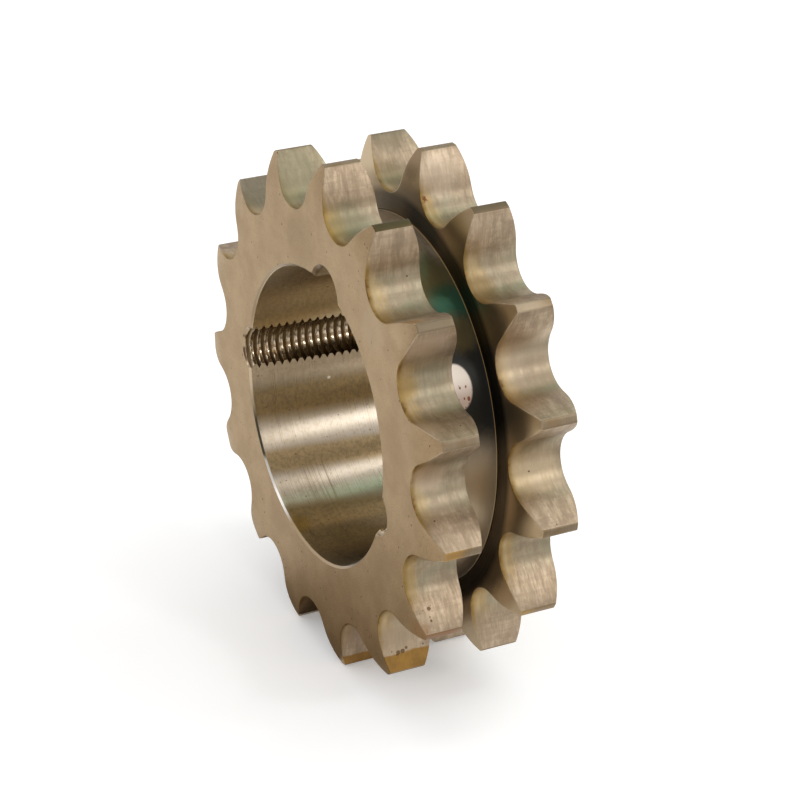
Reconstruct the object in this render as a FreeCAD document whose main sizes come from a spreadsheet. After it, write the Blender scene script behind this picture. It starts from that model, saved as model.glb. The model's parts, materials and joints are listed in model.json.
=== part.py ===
import FreeCAD, Part
import math
import os
import Sketcher
from FreeCAD import Placement, Rotation, Vector

# Duplex chain sprocket with fifteen teeth and a tapered bore for a clamping bush.
#
# One piece of steel: two toothed strands and the core between them are turned from a bar, the
# bore is cut to a 4 degree taper, the tooth gaps are cut through both strands at once, and three
# half holes are bored into the rim of the taper for the bush's screws.
#
# Millimetres.  The shaft's axis is Y, the front face is the plane Y = 0 and the part runs back
# from it along +Y.  The bore's centre on the front face is the origin.  +Z is up, and the part
# stands on the tips of two neighbouring teeth, so that one gap points straight down.

SIZES = {
    # chain: three quarter inch pitch, two strands
    "tooth_count": 15,
    "chain_pitch": 19.05,
    "strand_spacing": 19.46,
    "strand_width": 10.8,
    # tooth form: a round seat for the roller, then two flanks that curve over to the tip
    "seat_radius": 6.1,
    "seat_angle": 124.0,
    "flank_radius": 30.0,
    "tip_diameter": 99.8,
    # sides of each tooth, rounded towards the tip
    "side_radius": 19.05,
    "side_relief": 1.9,
    # turned groove between the strands
    "floor_diameter": 71.6,
    "floor_corner": 0.8,
    # tapered bore, and the plain counterbore behind it
    "bore_diameter": 57.15,
    "bore_taper": 4.0,
    "taper_length": 25.4,
    "counterbore_diameter": 55.0,
    "bore_chamfer": 0.5,
    # half holes on the taper's rim: a plain one and a tapped one on each side of it
    "screw_circle": 54.0,
    "plain_hole_angle": 80.5,
    "tapped_hole_spread": 95.5,
    "plain_hole_diameter": 9.8,
    "plain_hole_depth": 22.2,
    "tapped_hole_diameter": 8.0,
    "tapped_hole_depth": 25.4,
    "hole_chamfer": 0.8,
    "drill_point_angle": 59.0,
    # how far a cutting profile stands clear of the face that it enters
    "tool_clearance": 1.0,
}

doc = FreeCAD.newDocument("chain_sprocket")
sheet = doc.addObject("Spreadsheet::Sheet", "Sizes")
for row, (name, value) in enumerate(SIZES.items(), start=1):
    sheet.set("A%d" % row, name)
    sheet.set("B%d" % row, str(value))
    sheet.setAlias("B%d" % row, name)
doc.recompute()

body = doc.addObject("PartDesign::Body", "Body")
body.Label = "sprocket"
doc.recompute()


# how a sketch numbers the points of a curve, and its own two axes, which cross at its origin
START, END, CENTRE = range(1, 4)
X_AXIS, Y_AXIS = range(-1, -3, -1)
ORIGIN = (X_AXIS, START)


def size(name):
    return float(sheet.get(name))


def origin_feature(role):
    return next(f for f in body.Origin.OriginFeatures if f.Role == role)


def new_sketch(name, plane_role):
    sketch = body.newObject("Sketcher::SketchObject", name)
    sketch.AttachmentSupport = [(origin_feature(plane_role), "")]
    sketch.MapMode = "FlatFace"
    return sketch


def bind(feature, **expressions):
    for prop, expression in expressions.items():
        feature.setExpression(prop, expression)


def set_size(sketch, kind, where, value, name, expression):
    """Adds a driving dimension, names it and ties it to the sheet."""
    index = sketch.addConstraint(Sketcher.Constraint(kind, *where, value))
    sketch.renameConstraint(index, name)
    sketch.setExpression("Constraints." + name, expression)


def set_point(sketch, line, x, y, name, x_expression, y_expression):
    """Places a line's start point by its two distances from the sketch's origin."""
    set_size(sketch, "DistanceX", (*ORIGIN, line, START), x, name + "_x", x_expression)
    set_size(sketch, "DistanceY", (*ORIGIN, line, START), y, name + "_y", y_expression)


def closed_outline(sketch, points):
    """Joins points, each (name, x, y, x expression, y expression), by straight lines."""
    ends = points[1:] + points[:1]
    for (_, x, y, _, _), (_, next_x, next_y, _, _) in zip(points, ends):
        sketch.addGeometry(Part.LineSegment(Vector(x, y, 0), Vector(next_x, next_y, 0)))
    for line in range(len(points)):
        following = (line + 1) % len(points)
        sketch.addConstraint(Sketcher.Constraint("Coincident", line, END, following, START))
    for line, point in enumerate(points):
        name, x, y, x_expression, y_expression = point
        set_point(sketch, line, x, y, name, x_expression, y_expression)


def check_cut(feature, before):
    doc.recompute()
    if feature.Shape.Volume >= before:
        raise RuntimeError(feature.Name + " cuts nothing")


# Core: a plain disc as wide as both strands, whose rim is the floor of the groove between them.
core_sketch = new_sketch("core_sketch", "XZ_Plane")
core_sketch.addGeometry(Part.Circle(Vector(0, 0, 0), Vector(0, 0, 1), size("floor_diameter") / 2))
RIM = 0
core_sketch.addConstraint(Sketcher.Constraint("Coincident", RIM, CENTRE, *ORIGIN))
set_size(core_sketch, "Radius", (RIM,), size("floor_diameter") / 2, "floor_radius",
         "Sizes.floor_diameter / 2")
core = body.newObject("PartDesign::Pad", "core")
core.Profile = core_sketch
core.Reversed = True
bind(core, Length="Sizes.strand_spacing + Sizes.strand_width")
doc.recompute()

# Strand: a ring with flat sides whose outer corners are turned away on a large radius, so that
# the chain's plates are led over the teeth.  Each side arc leaves its flat side at a tangent.
tip = size("tip_diameter") / 2
relief = size("side_relief")
side = size("side_radius")
width = size("strand_width")
side_start = tip - math.sqrt(side**2 - (side - relief)**2)
side_sweep = math.acos(1 - relief / side)
inner = size("floor_diameter") / 2 - size("tool_clearance")

strand_sketch = new_sketch("strand_sketch", "XY_Plane")
FRONT_SIDE, FRONT_ARC, LAND, BACK_ARC, BACK_SIDE, INNER_SIDE = range(6)
strand_sketch.addGeometry(Part.LineSegment(Vector(inner, 0, 0), Vector(side_start, 0, 0)))
strand_sketch.addGeometry(Part.ArcOfCircle(
    Part.Circle(Vector(side_start, side, 0), Vector(0, 0, 1), side),
    -math.pi / 2, -math.pi / 2 + side_sweep))
strand_sketch.addGeometry(Part.LineSegment(Vector(tip, relief, 0), Vector(tip, width - relief, 0)))
strand_sketch.addGeometry(Part.ArcOfCircle(
    Part.Circle(Vector(side_start, width - side, 0), Vector(0, 0, 1), side),
    math.pi / 2 - side_sweep, math.pi / 2))
strand_sketch.addGeometry(Part.LineSegment(Vector(side_start, width, 0), Vector(inner, width, 0)))
strand_sketch.addGeometry(Part.LineSegment(Vector(inner, width, 0), Vector(inner, 0, 0)))
for constraint in (
    ("Tangent", FRONT_SIDE, END, FRONT_ARC, START),
    ("Coincident", FRONT_ARC, END, LAND, START),
    ("Coincident", LAND, END, BACK_ARC, START),
    ("Tangent", BACK_ARC, END, BACK_SIDE, START),
    ("Coincident", BACK_SIDE, END, INNER_SIDE, START),
    ("Coincident", INNER_SIDE, END, FRONT_SIDE, START),
    ("Horizontal", FRONT_SIDE),
    ("Horizontal", BACK_SIDE),
    ("Vertical", LAND),
    ("Vertical", INNER_SIDE),
    ("Equal", FRONT_ARC, BACK_ARC),
    ("PointOnObject", FRONT_SIDE, START, X_AXIS),
):
    strand_sketch.addConstraint(Sketcher.Constraint(*constraint))
set_size(strand_sketch, "Radius", (FRONT_ARC,), side, "side_radius", "Sizes.side_radius")
set_size(strand_sketch, "DistanceX", (*ORIGIN, LAND, START), tip, "tip_radius",
         "Sizes.tip_diameter / 2")
set_size(strand_sketch, "DistanceY", (*ORIGIN, LAND, START), relief, "front_relief",
         "Sizes.side_relief")
set_size(strand_sketch, "DistanceY", (LAND, END, BACK_ARC, END), relief, "back_relief",
         "Sizes.side_relief")
set_size(strand_sketch, "DistanceY", (*ORIGIN, BACK_SIDE, START), width, "width",
         "Sizes.strand_width")
set_size(strand_sketch, "DistanceX", (*ORIGIN, INNER_SIDE, START), inner, "inner_radius",
         "Sizes.floor_diameter / 2 - Sizes.tool_clearance")
strand = body.newObject("PartDesign::Revolution", "front_strand")
strand.Profile = strand_sketch
strand.ReferenceAxis = (strand_sketch, ["V_Axis"])
strand.Angle = 360
doc.recompute()

strands = body.newObject("PartDesign::LinearPattern", "both_strands")
strands.Originals = [strand]
strands.Direction = (origin_feature("Y_Axis"), [""])
strands.Occurrences = 2
bind(strands, Length="Sizes.strand_spacing")
body.Tip = strands
doc.recompute()

# Groove corners: the turning tool's broken corners leave a small bevel on both sides of the floor.
floor_radius = size("floor_diameter") / 2
corner_edges = [
    "Edge%d" % number
    for number, edge in enumerate(strands.Shape.Edges, start=1)
    if isinstance(edge.Curve, Part.Circle) and math.isclose(edge.Curve.Radius, floor_radius)
]
corners = body.newObject("PartDesign::Chamfer", "groove_corners")
corners.Base = (strands, corner_edges)
bind(corners, Size="Sizes.floor_corner")
doc.recompute()

# Bore: a taper that narrows from the front face over the bush's length, and a plain
# counterbore behind it.  Both mouths have a small chamfer.
slope = math.tan(math.radians(size("bore_taper")))
big_radius = size("bore_diameter") / 2
chamfer = size("bore_chamfer")
clear = size("tool_clearance")
taper_end = size("taper_length")
back_radius = size("counterbore_diameter") / 2
back_face = size("strand_spacing") + width
DROP = " * tan(Sizes.bore_taper * 1deg)"
BACK_FACE = "Sizes.strand_spacing + Sizes.strand_width"
BORE_RADIUS = "Sizes.bore_diameter / 2"
BACK_RADIUS = "Sizes.counterbore_diameter / 2"

bore_sketch = new_sketch("bore_sketch", "XY_Plane")
closed_outline(bore_sketch, [
    ("front_axis", 0, -clear, "0", "-Sizes.tool_clearance"),
    ("front_mouth", big_radius - chamfer * slope + chamfer + clear, -clear,
     BORE_RADIUS + " - Sizes.bore_chamfer" + DROP + " + Sizes.bore_chamfer + Sizes.tool_clearance",
     "-Sizes.tool_clearance"),
    ("taper_mouth", big_radius - chamfer * slope, chamfer,
     BORE_RADIUS + " - Sizes.bore_chamfer" + DROP, "Sizes.bore_chamfer"),
    ("taper_end", big_radius - taper_end * slope, taper_end,
     BORE_RADIUS + " - Sizes.taper_length" + DROP, "Sizes.taper_length"),
    ("counterbore_floor", back_radius, taper_end, BACK_RADIUS, "Sizes.taper_length"),
    ("counterbore_mouth", back_radius, back_face - chamfer, BACK_RADIUS,
     BACK_FACE + " - Sizes.bore_chamfer"),
    ("back_mouth", back_radius + chamfer + clear, back_face + clear,
     BACK_RADIUS + " + Sizes.bore_chamfer + Sizes.tool_clearance",
     BACK_FACE + " + Sizes.tool_clearance"),
    ("back_axis", 0, back_face + clear, "0", BACK_FACE + " + Sizes.tool_clearance"),
])
bore = body.newObject("PartDesign::Groove", "taper_bore")
bore.Profile = bore_sketch
bore.ReferenceAxis = (bore_sketch, ["V_Axis"])
bore.Angle = 360
check_cut(bore, corners.Shape.Volume)

# Tooth gap: the roller's seat, with its centre on the pitch circle straight below the shaft, and
# a flank on each side that leaves the seat at a tangent and runs out past the tip circle.
pitch_radius = size("chain_pitch") / 2 / math.sin(math.pi / size("tooth_count"))
seat = size("seat_radius")
flank = size("flank_radius")
half_seat = math.radians(size("seat_angle") / 2)
outer = tip + clear
gap_centre = Vector(0, -pitch_radius, 0)
right_hinge = Vector(math.sin(half_seat), math.cos(half_seat), 0)
left_hinge = Vector(-math.sin(half_seat), math.cos(half_seat), 0)
right_centre = gap_centre + right_hinge * (seat + flank)
left_centre = gap_centre + left_hinge * (seat + flank)


def flank_end(centre, towards):
    """The point where a flank's circle crosses the circle just outside the tips."""
    reach = centre.Length
    along = (reach**2 + outer**2 - flank**2) / (2 * reach)
    across = math.sqrt(outer**2 - along**2)
    direction = centre.normalize()
    return direction * along + Vector(direction.y, -direction.x, 0) * across * towards


right_end = flank_end(Vector(right_centre), 1)
left_end = flank_end(Vector(left_centre), -1)


def arc_through(centre, radius, start, end):
    """The arc that runs counter-clockwise from start to end."""
    first = math.atan2(start.y - centre.y, start.x - centre.x)
    last = math.atan2(end.y - centre.y, end.x - centre.x)
    if last < first:
        last += 2 * math.pi
    return Part.ArcOfCircle(Part.Circle(centre, Vector(0, 0, 1), radius), first, last)


gap_sketch = new_sketch("gap_sketch", "XZ_Plane")
SEAT, RIGHT_FLANK, LEFT_FLANK, OUTSIDE, RIGHT_ANGLE, LEFT_ANGLE = range(6)
right_joint = gap_centre + right_hinge * seat
left_joint = gap_centre + left_hinge * seat
gap_sketch.addGeometry(arc_through(gap_centre, seat, right_joint, left_joint))
gap_sketch.addGeometry(arc_through(right_centre, flank, right_joint, right_end))
gap_sketch.addGeometry(arc_through(left_centre, flank, left_end, left_joint))
gap_sketch.addGeometry(arc_through(Vector(0, 0, 0), outer, left_end, right_end))
gap_sketch.addGeometry(Part.LineSegment(gap_centre, right_joint), True)
gap_sketch.addGeometry(Part.LineSegment(gap_centre, left_joint), True)
for constraint in (
    ("PointOnObject", SEAT, CENTRE, Y_AXIS),
    ("Tangent", SEAT, START, RIGHT_FLANK, START),
    ("Tangent", SEAT, END, LEFT_FLANK, END),
    ("Coincident", RIGHT_FLANK, END, OUTSIDE, END),
    ("Coincident", LEFT_FLANK, START, OUTSIDE, START),
    ("Coincident", OUTSIDE, CENTRE, *ORIGIN),
    ("Coincident", RIGHT_ANGLE, START, SEAT, CENTRE),
    ("Coincident", RIGHT_ANGLE, END, SEAT, START),
    ("Coincident", LEFT_ANGLE, START, SEAT, CENTRE),
    ("Coincident", LEFT_ANGLE, END, SEAT, END),
    ("Equal", RIGHT_FLANK, LEFT_FLANK),
    ("Symmetric", SEAT, START, SEAT, END, Y_AXIS),
):
    gap_sketch.addConstraint(Sketcher.Constraint(*constraint))
set_size(gap_sketch, "DistanceY", (SEAT, CENTRE, *ORIGIN), pitch_radius, "pitch_radius",
         "Sizes.chain_pitch / 2 / sin(180deg / Sizes.tooth_count)")
set_size(gap_sketch, "Radius", (SEAT,), seat, "seat_radius", "Sizes.seat_radius")
set_size(gap_sketch, "Radius", (RIGHT_FLANK,), flank, "flank_radius", "Sizes.flank_radius")
set_size(gap_sketch, "Radius", (OUTSIDE,), outer, "outer_radius",
         "Sizes.tip_diameter / 2 + Sizes.tool_clearance")
set_size(gap_sketch, "Angle", (RIGHT_ANGLE, START, LEFT_ANGLE, START), 2 * half_seat, "seat_angle",
         "Sizes.seat_angle * 1deg")
gap = body.newObject("PartDesign::Pocket", "tooth_gap")
gap.Profile = gap_sketch
gap.Type = "ThroughAll"
gap.Midplane = True
check_cut(gap, bore.Shape.Volume)

teeth = body.newObject("PartDesign::PolarPattern", "teeth")
teeth.Originals = [gap]
teeth.Axis = (origin_feature("Y_Axis"), [""])
teeth.Angle = 360
bind(teeth, Occurrences="Sizes.tooth_count")
body.Tip = teeth
check_cut(teeth, gap.Shape.Volume)


def half_hole(name, angle, angle_expression, diameter_name, depth_name, before):
    """Bores a blind hole beside the shaft's axis, half in the rim and half in the open bore."""
    centre = size("screw_circle") / 2
    radius = size(diameter_name) / 2
    depth = size(depth_name)
    mouth = size("hole_chamfer")
    point = radius / math.tan(math.radians(size("drill_point_angle")))
    centre_text = "Sizes.screw_circle / 2"
    wall_text = centre_text + " + Sizes.%s / 2" % diameter_name
    depth_text = "Sizes." + depth_name

    sketch = new_sketch(name + "_sketch", "XY_Plane")
    sketch.AttachmentOffset = Placement(Vector(0, 0, 0), Rotation(Vector(0, 1, 0), -angle))
    sketch.setExpression("AttachmentOffset.Rotation.Angle", "-(%s) * 1deg" % angle_expression)
    closed_outline(sketch, [
        ("axis_mouth", centre, -clear, centre_text, "-Sizes.tool_clearance"),
        ("chamfer_mouth", centre + radius + mouth + clear, -clear,
         wall_text + " + Sizes.hole_chamfer + Sizes.tool_clearance", "-Sizes.tool_clearance"),
        ("wall_mouth", centre + radius, mouth, wall_text, "Sizes.hole_chamfer"),
        ("wall_end", centre + radius, depth, wall_text, depth_text),
        ("drill_point", centre, depth + point, centre_text,
         depth_text + " + Sizes.%s / 2 / tan(Sizes.drill_point_angle * 1deg)" % diameter_name),
    ])
    axis_line = len(sketch.Geometry)
    sketch.addGeometry(Part.LineSegment(Vector(centre, -clear, 0), Vector(centre, depth, 0)), True)
    first_line = 0
    sketch.addConstraint(Sketcher.Constraint("Coincident", axis_line, START, first_line, START))
    sketch.addConstraint(Sketcher.Constraint("Vertical", axis_line))
    set_size(sketch, "DistanceY", (axis_line, START, axis_line, END), depth + clear, "axis_length",
             depth_text + " + Sizes.tool_clearance")
    hole = body.newObject("PartDesign::Groove", name)
    hole.Profile = sketch
    hole.ReferenceAxis = (sketch, ["Axis0"])
    hole.Angle = 360
    check_cut(hole, before)
    return hole


# Half holes: the plain one near the top takes the screw that draws the bush out, and the two
# tapped ones, left and right, take the screws that push it in.
plain_angle = size("plain_hole_angle")
spread = size("tapped_hole_spread")
plain_hole = half_hole("plain_half_hole", plain_angle, "Sizes.plain_hole_angle",
                       "plain_hole_diameter", "plain_hole_depth", teeth.Shape.Volume)
left_hole = half_hole("left_tapped_half_hole", plain_angle + spread,
                      "Sizes.plain_hole_angle + Sizes.tapped_hole_spread",
                      "tapped_hole_diameter", "tapped_hole_depth", plain_hole.Shape.Volume)
right_hole = half_hole("right_tapped_half_hole", plain_angle - spread,
                       "Sizes.plain_hole_angle - Sizes.tapped_hole_spread",
                       "tapped_hole_diameter", "tapped_hole_depth", left_hole.Shape.Volume)
body.Tip = right_hole
doc.recompute()

for thing in doc.Objects:
    if "Invalid" in thing.State or "Error" in thing.State:
        raise RuntimeError("failed: " + thing.Name)
if body.Shape.isNull() or not body.Shape.isValid() or len(body.Shape.Solids) != 1:
    raise RuntimeError("the sprocket is not one valid solid")

os.makedirs("parts", exist_ok=True)
body.Shape.exportStep("parts/%s.step" % body.Label)
print(body.Label, "volume", round(body.Shape.Volume))
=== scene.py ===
import math
import bpy
from mathutils import Matrix, Vector
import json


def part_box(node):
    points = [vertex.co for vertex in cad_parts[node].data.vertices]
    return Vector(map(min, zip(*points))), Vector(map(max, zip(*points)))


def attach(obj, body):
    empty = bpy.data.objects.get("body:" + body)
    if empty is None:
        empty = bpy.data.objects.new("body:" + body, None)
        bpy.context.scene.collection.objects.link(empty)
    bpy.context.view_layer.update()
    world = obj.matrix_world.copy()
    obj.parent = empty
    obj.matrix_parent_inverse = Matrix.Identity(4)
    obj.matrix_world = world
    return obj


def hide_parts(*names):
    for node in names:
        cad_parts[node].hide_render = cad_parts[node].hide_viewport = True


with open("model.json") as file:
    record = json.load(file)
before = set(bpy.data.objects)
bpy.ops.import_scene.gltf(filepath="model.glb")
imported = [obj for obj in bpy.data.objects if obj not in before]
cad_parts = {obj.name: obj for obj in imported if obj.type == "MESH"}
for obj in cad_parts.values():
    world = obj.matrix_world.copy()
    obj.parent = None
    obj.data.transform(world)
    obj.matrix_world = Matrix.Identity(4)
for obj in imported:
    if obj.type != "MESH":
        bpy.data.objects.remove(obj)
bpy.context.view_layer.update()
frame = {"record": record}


# Blank and teeth.  One piece of medium carbon steel is turned to two toothed strands with a groove
# between them, bored to a taper, and hobbed across both strands at once.  One tooth gap is drawn
# here as a closed section, column by column, and repeated round the shaft's axis.
MM = 0.001
mounts = {mount["name"]: mount for mount in frame["record"]["mounts"]}
lowest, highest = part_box("sprocket")

openings = [opening["name"] for opening in frame["record"]["physics"]["openings"]]
teeth = sum(name.startswith("tooth_gap") for name in openings)
width = highest.y
tip_radius = highest.z
strand_width = 2 * mounts["chain_seat"]["pos_m"][1]
strand_spacing = width - strand_width
seat_radius = mounts["chain_seat"]["dims"]["r_mm"] * MM
pitch_radius = seat_radius - mounts["chain_seat"]["pos_m"][2]
seat_angle = math.radians(124)
flank_radius = 30 * MM
side_radius = 19.05 * MM
side_relief = 1.9 * MM
floor_radius = 35.8 * MM
floor_corner = 0.2 * MM
edge_break = 0.16 * MM
tip_break = 0.38 * MM
foot_radius = 38.4 * MM
weld_distance = 0.001 * MM
sharp_angle = math.radians(38)

bore_radius = mounts["taper_bore"]["dims"]["r_mm"] * MM
taper_length = mounts["taper_bore"]["dims"]["length_mm"] * MM
bore_slope = math.tan(math.radians(4))
bore_chamfer = 0.42 * MM
counterbore_radius = 27.5 * MM

SEAT_STEPS, FLANK_STEPS, TIP_STEPS, LAND_STEPS = 12, 9, 3, 2
SIDE_STEPS, EDGE_STEPS, WALL_STEPS, FLOOR_STEPS, TAPER_STEPS = 7, 3, 4, 3, 7
FACE, GAP, LAND, GROOVE, BORE = range(5)


def half_gap():
    """Half of a gap's outline, from the bottom of its seat to the middle of the next tooth."""
    half_seat = seat_angle / 2
    points = [
        Vector((math.sin(turn), -math.cos(turn))) * seat_radius + Vector((0, pitch_radius))
        for turn in (half_seat * step / SEAT_STEPS for step in range(SEAT_STEPS + 1))
    ]
    hinge = Vector((math.sin(half_seat), -math.cos(half_seat)))
    centre = hinge * (seat_radius + flank_radius) + Vector((0, pitch_radius))
    along = (centre.length_squared + tip_radius**2 - flank_radius**2) / (2 * centre.length)
    across = math.sqrt(tip_radius**2 - along**2)
    towards = centre.normalized()
    flank_end = towards * along + Vector((-towards.y, towards.x)) * across
    first = (points[-1] - centre).normalized()
    last = (flank_end - centre).normalized()
    sweep = first.angle(last) - tip_break / flank_radius
    for step in range(1, FLANK_STEPS + 1):
        turn = -sweep * step / FLANK_STEPS
        points.append(centre + first @ Matrix.Rotation(-turn, 2) * flank_radius)
    start = points[-1]
    land_start = math.atan2(flank_end.x, flank_end.y) + tip_break / tip_radius
    land_end = math.pi / teeth
    end = Vector((math.sin(land_start), math.cos(land_start))) * tip_radius
    for step in range(1, TIP_STEPS + 1):
        share = step / (TIP_STEPS + 1)
        points.append(start.lerp(flank_end, share).lerp(flank_end.lerp(end, share), share))
    for step in range(LAND_STEPS + 1):
        turn = land_start + (land_end - land_start) * step / LAND_STEPS
        points.append(Vector((math.sin(turn), math.cos(turn))) * tip_radius)
    return points


def side_depth(radius):
    """How far the rounded side of a tooth lies behind its flat face, at a radius."""
    start = tip_radius - math.sqrt(side_radius**2 - (side_radius - side_relief)**2)
    if radius <= start:
        return 0.0
    return side_radius - math.sqrt(side_radius**2 - (radius - start)**2)


def strand_rows(point, outward, face, back, land):
    """The rows of one strand on one column, from the foot of its front side to that of its back."""
    inner = point - outward * edge_break
    foot = point.normalized() * foot_radius
    side = [foot.lerp(inner, step / SIDE_STEPS) for step in range(SIDE_STEPS + 1)]
    start = face + side_depth(inner.length)
    end = back - side_depth(inner.length)
    wall = LAND if land else GAP
    front_zone = FACE if face == 0 else GROOVE
    back_zone = GROOVE if face == 0 else FACE
    rows = [(p, face + side_depth(p.length), front_zone) for p in side]
    turns = [math.pi / 2 * step / EDGE_STEPS for step in range(1, EDGE_STEPS + 1)]
    rounding = [
        (inner + outward * edge_break * math.sin(t), edge_break * (1 - math.cos(t)))
        for t in turns
    ]
    rows += [(p, start + depth, wall) for p, depth in rounding]
    run = end - start - 2 * edge_break
    rows += [
        (point, start + edge_break + run * step / WALL_STEPS, wall)
        for step in range(1, WALL_STEPS)
    ]
    rows += [(p, end - depth, wall) for p, depth in reversed(rounding)]
    rows += [(p, back - side_depth(p.length), back_zone) for p in reversed(side)]
    return rows


def groove_rows(ray):
    """The groove's floor and its two rounded corners, between the strands."""
    turns = [math.pi / 2 * step / EDGE_STEPS for step in range(EDGE_STEPS + 1)]
    corner = [
        (floor_radius + floor_corner * (1 - math.sin(t)), floor_corner * (1 - math.cos(t)))
        for t in turns
    ]
    run = strand_spacing - strand_width - 2 * floor_corner
    rows = [(ray * r, strand_width + depth, GROOVE) for r, depth in corner]
    rows += [
        (ray * floor_radius, strand_width + floor_corner + run * step / FLOOR_STEPS, GROOVE)
        for step in range(1, FLOOR_STEPS)
    ]
    return rows + [(ray * r, strand_spacing - depth, GROOVE) for r, depth in reversed(corner)]


def bore_rows(ray):
    """The counterbore with its chamfer, its shoulder and the taper, from the back to the front."""
    taper_end = bore_radius - taper_length * bore_slope
    mouth = bore_radius - bore_chamfer * bore_slope
    rows = [
        (ray * (counterbore_radius + bore_chamfer), width, FACE),
        (ray * counterbore_radius, width - bore_chamfer, BORE),
        (ray * counterbore_radius, taper_length, BORE),
    ]
    for step in range(TAPER_STEPS + 1):
        share = step / TAPER_STEPS
        depth = taper_length + (bore_chamfer - taper_length) * share
        rows.append((ray * (taper_end + (mouth - taper_end) * share), depth, BORE))
    return rows + [(ray * (mouth + bore_chamfer), 0.0, FACE)]


def gap_mesh():
    """One pitch of the sprocket, from the middle of one tooth to the middle of the next."""
    half = half_gap()
    outline = [Vector((-p.x, p.y)) for p in reversed(half[1:])] + half
    land_columns = TIP_STEPS + LAND_STEPS
    vertices, faces, zones = [], [], []
    for index, point in enumerate(outline):
        before = outline[max(index - 1, 0)]
        after = outline[min(index + 1, len(outline) - 1)]
        outward = Vector((before.y - after.y, after.x - before.x)).normalized()
        if index in (0, len(outline) - 1):
            outward = point.normalized()
        land = index < land_columns or index >= len(outline) - 1 - land_columns
        ray = point.normalized()
        rows = strand_rows(point, outward, 0.0, strand_width, land)
        rows += groove_rows(ray)
        rows += strand_rows(point, outward, strand_spacing, width, land)
        rows += bore_rows(ray)
        vertices.append([(p.x, y, -p.y) for p, y, _ in rows])
        zones.append([zone for _, _, zone in rows])
    count = len(vertices[0])
    for column in range(len(vertices) - 1):
        for row in range(count):
            following = (row + 1) % count
            faces.append((column * count + row, column * count + following,
                          (column + 1) * count + following, (column + 1) * count + row))
    face_zones = [
        max(zones[column][row], zones[column][(row + 1) % count]) if row + 1 < count else FACE
        for column in range(len(vertices) - 1)
        for row in range(count)
    ]
    mesh = bpy.data.meshes.new("tooth_gap")
    mesh.from_pydata([v for rows in vertices for v in rows], [], faces)
    zone = mesh.attributes.new("zone", "INT", "FACE")
    zone.data.foreach_set("value", face_zones)
    mesh.update()
    return mesh


blank = bpy.data.objects.new("blank", gap_mesh())
bpy.context.scene.collection.objects.link(blank)


# Finish.  Bare machined steel under a thin dried film of oil, one metal with a finish for each tool
# that cut it.  The groups below are shared by the finishes: where a point lies, tool marks, grain
# with clouds and pits, and spots in one place, which lay both real stains and painted light and
# shade.
def node(tree, kind, **settings):
    made = tree.nodes.new(kind)
    for name, value in settings.items():
        setattr(made, name, value)
    return made


def connect(tree, value, socket):
    """Feeds a socket from another socket, or sets it to a constant."""
    if isinstance(value, bpy.types.NodeSocket):
        tree.links.new(value, socket)
    elif socket.type == "RGBA":
        socket.default_value = (*value, 1)
    else:
        socket.default_value = value


def calculate(tree, operation, *values):
    made = node(tree, "ShaderNodeMath", operation=operation)
    for value, socket in zip(values, made.inputs):
        connect(tree, value, socket)
    return made.outputs[0]


def step_between(tree, value, start, end, low=0.0, high=1.0):
    """A smooth step: low where the value is at start, high where it is at end."""
    made = node(tree, "ShaderNodeMapRange", interpolation_type="SMOOTHSTEP")
    for socket, given in zip(made.inputs, (value, start, end, low, high)):
        connect(tree, given, socket)
    return made.outputs[0]


def distance_from(tree, value, other):
    """How far a value is from another, whichever is the larger."""
    return calculate(tree, "ABSOLUTE", calculate(tree, "SUBTRACT", value, other))


def mix(tree, share, under, over):
    made = node(tree, "ShaderNodeMix", data_type="RGBA")
    connect(tree, share, made.inputs[0])
    connect(tree, under, made.inputs[6])
    connect(tree, over, made.inputs[7])
    return made.outputs[2]


def tinted(tree, color, mask, strength, tint):
    """Lays a tint over a colour where a mask shows it, at a share of its full strength."""
    return mix(tree, calculate(tree, "MULTIPLY", mask, strength), color, tint)


def noise(tree, place, scale, detail=2.0, roughness=0.5):
    made = node(tree, "ShaderNodeTexNoise")
    connect(tree, place, made.inputs["Vector"])
    made.inputs["Scale"].default_value = scale
    made.inputs["Detail"].default_value = detail
    made.inputs["Roughness"].default_value = roughness
    return made.outputs[0]


def shader_group(name, inputs, outputs):
    """An empty shader node group with named inputs and outputs."""
    tree = bpy.data.node_groups.new(name, "ShaderNodeTree")
    for label, kind in inputs.items():
        tree.interface.new_socket(label, in_out="INPUT", socket_type="NodeSocket" + kind)
    for label, kind in outputs.items():
        tree.interface.new_socket(label, in_out="OUTPUT", socket_type="NodeSocket" + kind)
    return tree, node(tree, "NodeGroupInput").outputs, node(tree, "NodeGroupOutput").inputs


def use(tree, group, **values):
    """Places a shader node group in a material and gives back its outputs."""
    made = node(tree, "ShaderNodeGroup", node_tree=group)
    for name, value in values.items():
        connect(tree, value, made.inputs[name])
    return made.outputs


def place_group():
    """Millimetres along the axes, from the shaft's axis, and behind the front of a strand."""
    outputs = {"Millimetres": "Vector", "Radius": "Float", "Depth": "Float"}
    tree, _, result = shader_group("place", {}, outputs)
    scaled = node(tree, "ShaderNodeVectorMath", operation="SCALE")
    tree.links.new(node(tree, "ShaderNodeTexCoord").outputs["Object"], scaled.inputs[0])
    scaled.inputs["Scale"].default_value = 1 / MM
    parts = node(tree, "ShaderNodeSeparateXYZ")
    tree.links.new(scaled.outputs[0], parts.inputs[0])
    across = calculate(tree, "MULTIPLY", parts.outputs["X"], parts.outputs["X"])
    square = calculate(tree, "MULTIPLY_ADD", parts.outputs["Z"], parts.outputs["Z"], across)
    tree.links.new(scaled.outputs[0], result["Millimetres"])
    tree.links.new(calculate(tree, "SQRT", square), result["Radius"])
    depth = calculate(tree, "MODULO", parts.outputs["Y"], strand_spacing / MM)
    tree.links.new(depth, result["Depth"])
    return tree


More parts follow.
